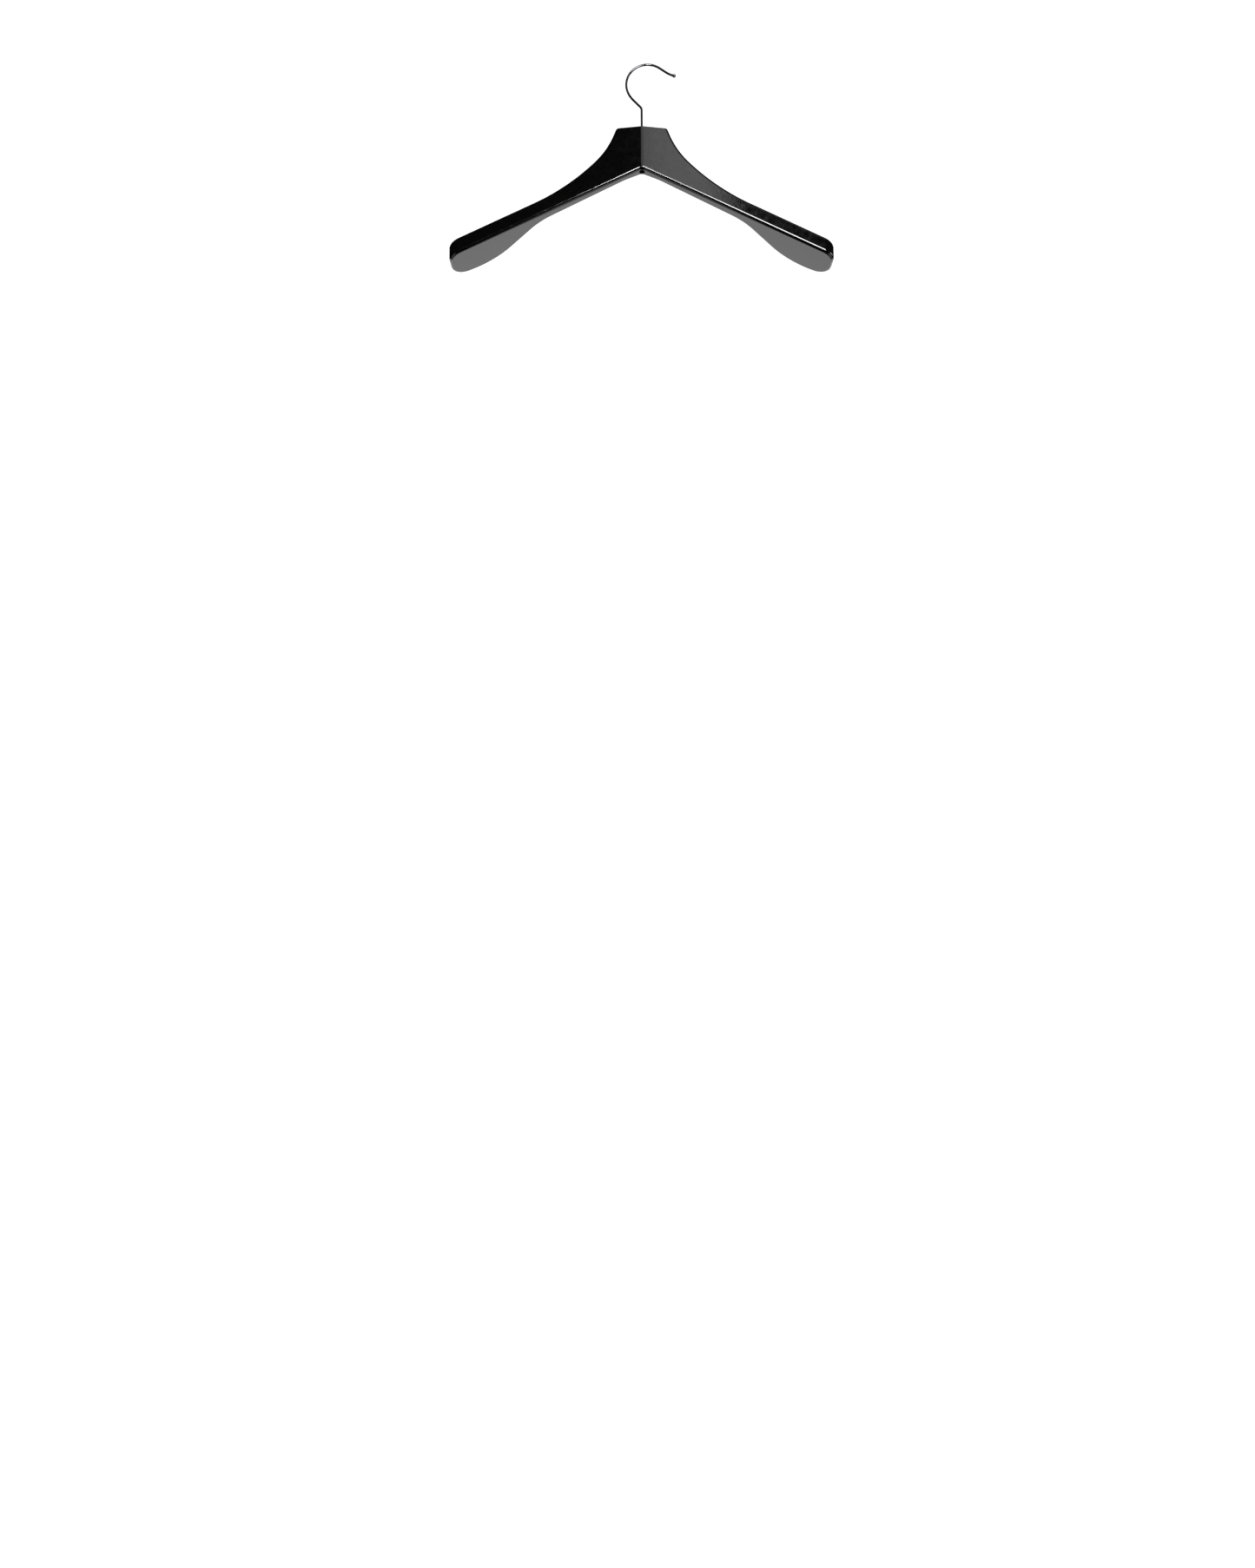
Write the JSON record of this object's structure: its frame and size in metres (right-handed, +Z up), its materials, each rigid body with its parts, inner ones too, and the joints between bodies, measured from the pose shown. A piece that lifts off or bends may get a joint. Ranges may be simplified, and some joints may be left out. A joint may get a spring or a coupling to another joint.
{
  "type": "clothes hanger",
  "caption": "Wooden clothes hanger with two broad contoured shoulder wings and a round wire hook that turns in the neck.",
  "frame": {"origin": "saddle of the hook: the highest point of the hook's inner side, where a rail bears", "axes": "+X to the right seen from the front, along the hanger's width; +Y to the back; +Z up along the stem"},
  "size_m": [0.445, 0.0765, 0.2145],
  "materials": {
    "black_lacquer": "black semi-gloss lacquer on hardwood",
    "black_steel": "polished black nickel on steel",
    "plain_steel": "zinc plated steel"
  },
  "bodies": {
    "hook_body": {"hook": "black_steel", "retaining_nut": "plain_steel"},
    "hanger_body": {"left_arm": "black_lacquer", "right_arm": "black_lacquer", "neck_bush": "black_steel", "washer": "plain_steel"}
  },
  "joints": [
    {"name": "hook_swivel", "type": "hinge", "parent": "hook_body", "child": "hanger_body", "pos_m": [-0.007, 0, -0.0754], "axis": [0, 0, 1], "continuous": true}
  ]
}
